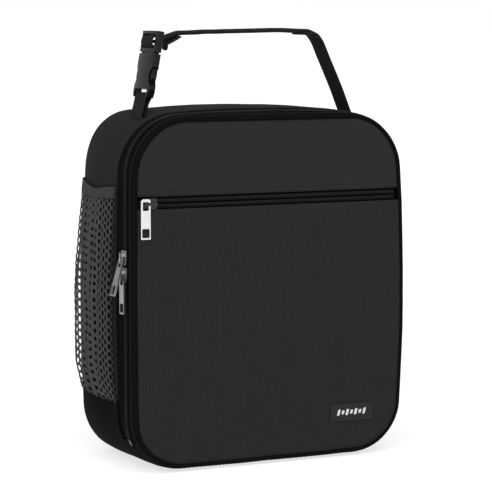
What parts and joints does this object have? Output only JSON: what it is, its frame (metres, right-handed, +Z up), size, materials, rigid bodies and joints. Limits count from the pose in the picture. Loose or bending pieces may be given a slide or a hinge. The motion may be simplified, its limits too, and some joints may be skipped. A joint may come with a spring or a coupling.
{
  "type": "insulated lunch bag",
  "caption": "Soft-sided insulated lunch bag with a zipped clamshell front, zipped front pocket, mesh side pocket and a buckled webbing handle.",
  "frame": {"origin": "on the standing surface, under the middle of the bag's width and depth", "axes": "+Z up, the zipped front faces -Y, +X runs to the right of the front as it is looked at"},
  "size_m": [0.2277, 0.1125, 0.3171],
  "materials": {
    "upper_canvas": "fine plain-weave polyester canvas",
    "pocket_canvas": "coarse ribbed polyester canvas",
    "gusset_canvas": "fine plain-weave polyester canvas",
    "base_cloth": "smooth coated polyester",
    "piping_cloth": "bias-cut cloth over cord",
    "zip_tape": "woven polyester tape",
    "zip_coil": "nylon coil",
    "slider_metal": "dark plated zinc",
    "pull_metal": "bright plated zinc",
    "mesh_net": "open knitted polyester net",
    "mesh_elastic": "woven elastic binding",
    "webbing": "flat polypropylene webbing",
    "buckle_plastic": "moulded acetal",
    "label_rubber": "moulded soft PVC",
    "foam": "closed-cell polyethylene foam",
    "foil_liner": "foil-faced PEVA film",
    "lining_cloth": "thin polyester lining"
  },
  "bodies": {
    "bag": {"side_gusset": "gusset_canvas", "base_panel": "base_cloth", "hinge_strip": "base_cloth", "back_panel": "gusset_canvas", "back_piping": "piping_cloth", "wall_foam": "foam", "back_foam": "foam", "body_liner": "foil_liner", "body_binding": "lining_cloth", "rear_zip_tape": "zip_tape", "rear_zip_coil": "zip_coil", "zip_stops": "slider_metal", "mesh_pocket": "mesh_net", "mesh_binding": "mesh_elastic", "left_foot": "webbing", "right_foot": "webbing"},
    "lid": {"front_upper_panel": "upper_canvas", "front_pocket_panel": "pocket_canvas", "front_piping": "piping_cloth", "lid_flange": "piping_cloth", "lid_zip_tape": "zip_tape", "lid_zip_coil": "zip_coil", "pocket_zip_tape_upper": "zip_tape", "pocket_zip_tape_lower": "zip_tape", "pocket_zip_coil_upper": "zip_coil", "pocket_zip_coil_lower": "zip_coil", "pocket_backing": "lining_cloth", "lid_foam": "foam", "lid_liner": "foil_liner", "lid_binding": "lining_cloth", "label_patch": "label_rubber"},
    "upper_slider": {"upper_slider": "slider_metal"},
    "upper_pull": {"upper_pull": "pull_metal"},
    "lower_slider": {"lower_slider": "slider_metal"},
    "lower_pull": {"lower_pull": "pull_metal"},
    "pocket_slider": {"pocket_slider": "slider_metal"},
    "pocket_pull": {"pocket_pull": "pull_metal"},
    "handle": {"handle_strap": "webbing", "socket_loop": "webbing", "buckle_socket": "buckle_plastic"},
    "insert": {"buckle_insert": "buckle_plastic", "strap_end": "webbing"},
    "prong_front": {"prong_front": "buckle_plastic"},
    "prong_rear": {"prong_rear": "buckle_plastic"}
  },
  "joints": [
    {"name": "lid_opening", "type": "hinge", "parent": "bag", "child": "lid", "pos_m": [0, -0.037, 0], "axis": [1, 0, 0], "range_deg": [0, 70], "deforming": ["hinge_strip"]},
    {"name": "handle_swing", "type": "hinge", "parent": "bag", "child": "handle", "pos_m": [0, 0, 0.265], "axis": [1, 0, 0], "range_deg": [-60, 60]},
    {"name": "buckle_release", "type": "slide", "parent": "handle", "child": "insert", "axis": [0.1822, 0, 0.9833], "range_m": [0, 0.03], "deforming": ["prong_front", "prong_rear"]},
    {"name": "front_prong_squeeze", "type": "hinge", "parent": "insert", "child": "prong_front", "pos_m": [-0.07224, -0.0076, 0.29691], "axis": [-0.9833, 0, 0.1822], "range_deg": [0, 7], "stiffness_Nm_per_rad": 0.2},
    {"name": "rear_prong_squeeze", "type": "hinge", "parent": "insert", "child": "prong_rear", "pos_m": [-0.07224, 0.0076, 0.29691], "axis": [0.9833, 0, -0.1822], "range_deg": [0, 7], "stiffness_Nm_per_rad": 0.2},
    {"name": "pocket_zip_travel", "type": "slide", "parent": "lid", "child": "pocket_slider", "axis": [1, 0, 0], "range_m": [0, 0.195]},
    {"name": "pocket_pull_swing", "type": "hinge", "parent": "pocket_slider", "child": "pocket_pull", "pos_m": [-0.1014, -0.0563, 0.1948], "axis": [0, -1, 0], "range_deg": [-80, 40]},
    {"name": "upper_zip_travel", "type": "slide", "parent": "bag", "child": "upper_slider", "axis": [0, 0, 1], "range_m": [0, 0.048]},
    {"name": "upper_pull_swing", "type": "hinge", "parent": "upper_slider", "child": "upper_pull", "pos_m": [-0.11095, -0.037, 0.1554], "axis": [0, 1, 0], "range_deg": [0, 150]},
    {"name": "lower_zip_travel", "type": "slide", "parent": "bag", "child": "lower_slider", "axis": [0, 0, -1], "range_m": [0, 0.085]},
    {"name": "lower_pull_swing", "type": "hinge", "parent": "lower_slider", "child": "lower_pull", "pos_m": [-0.11095, -0.037, 0.143], "axis": [0, 1, 0], "range_deg": [0, 15]}
  ]
}
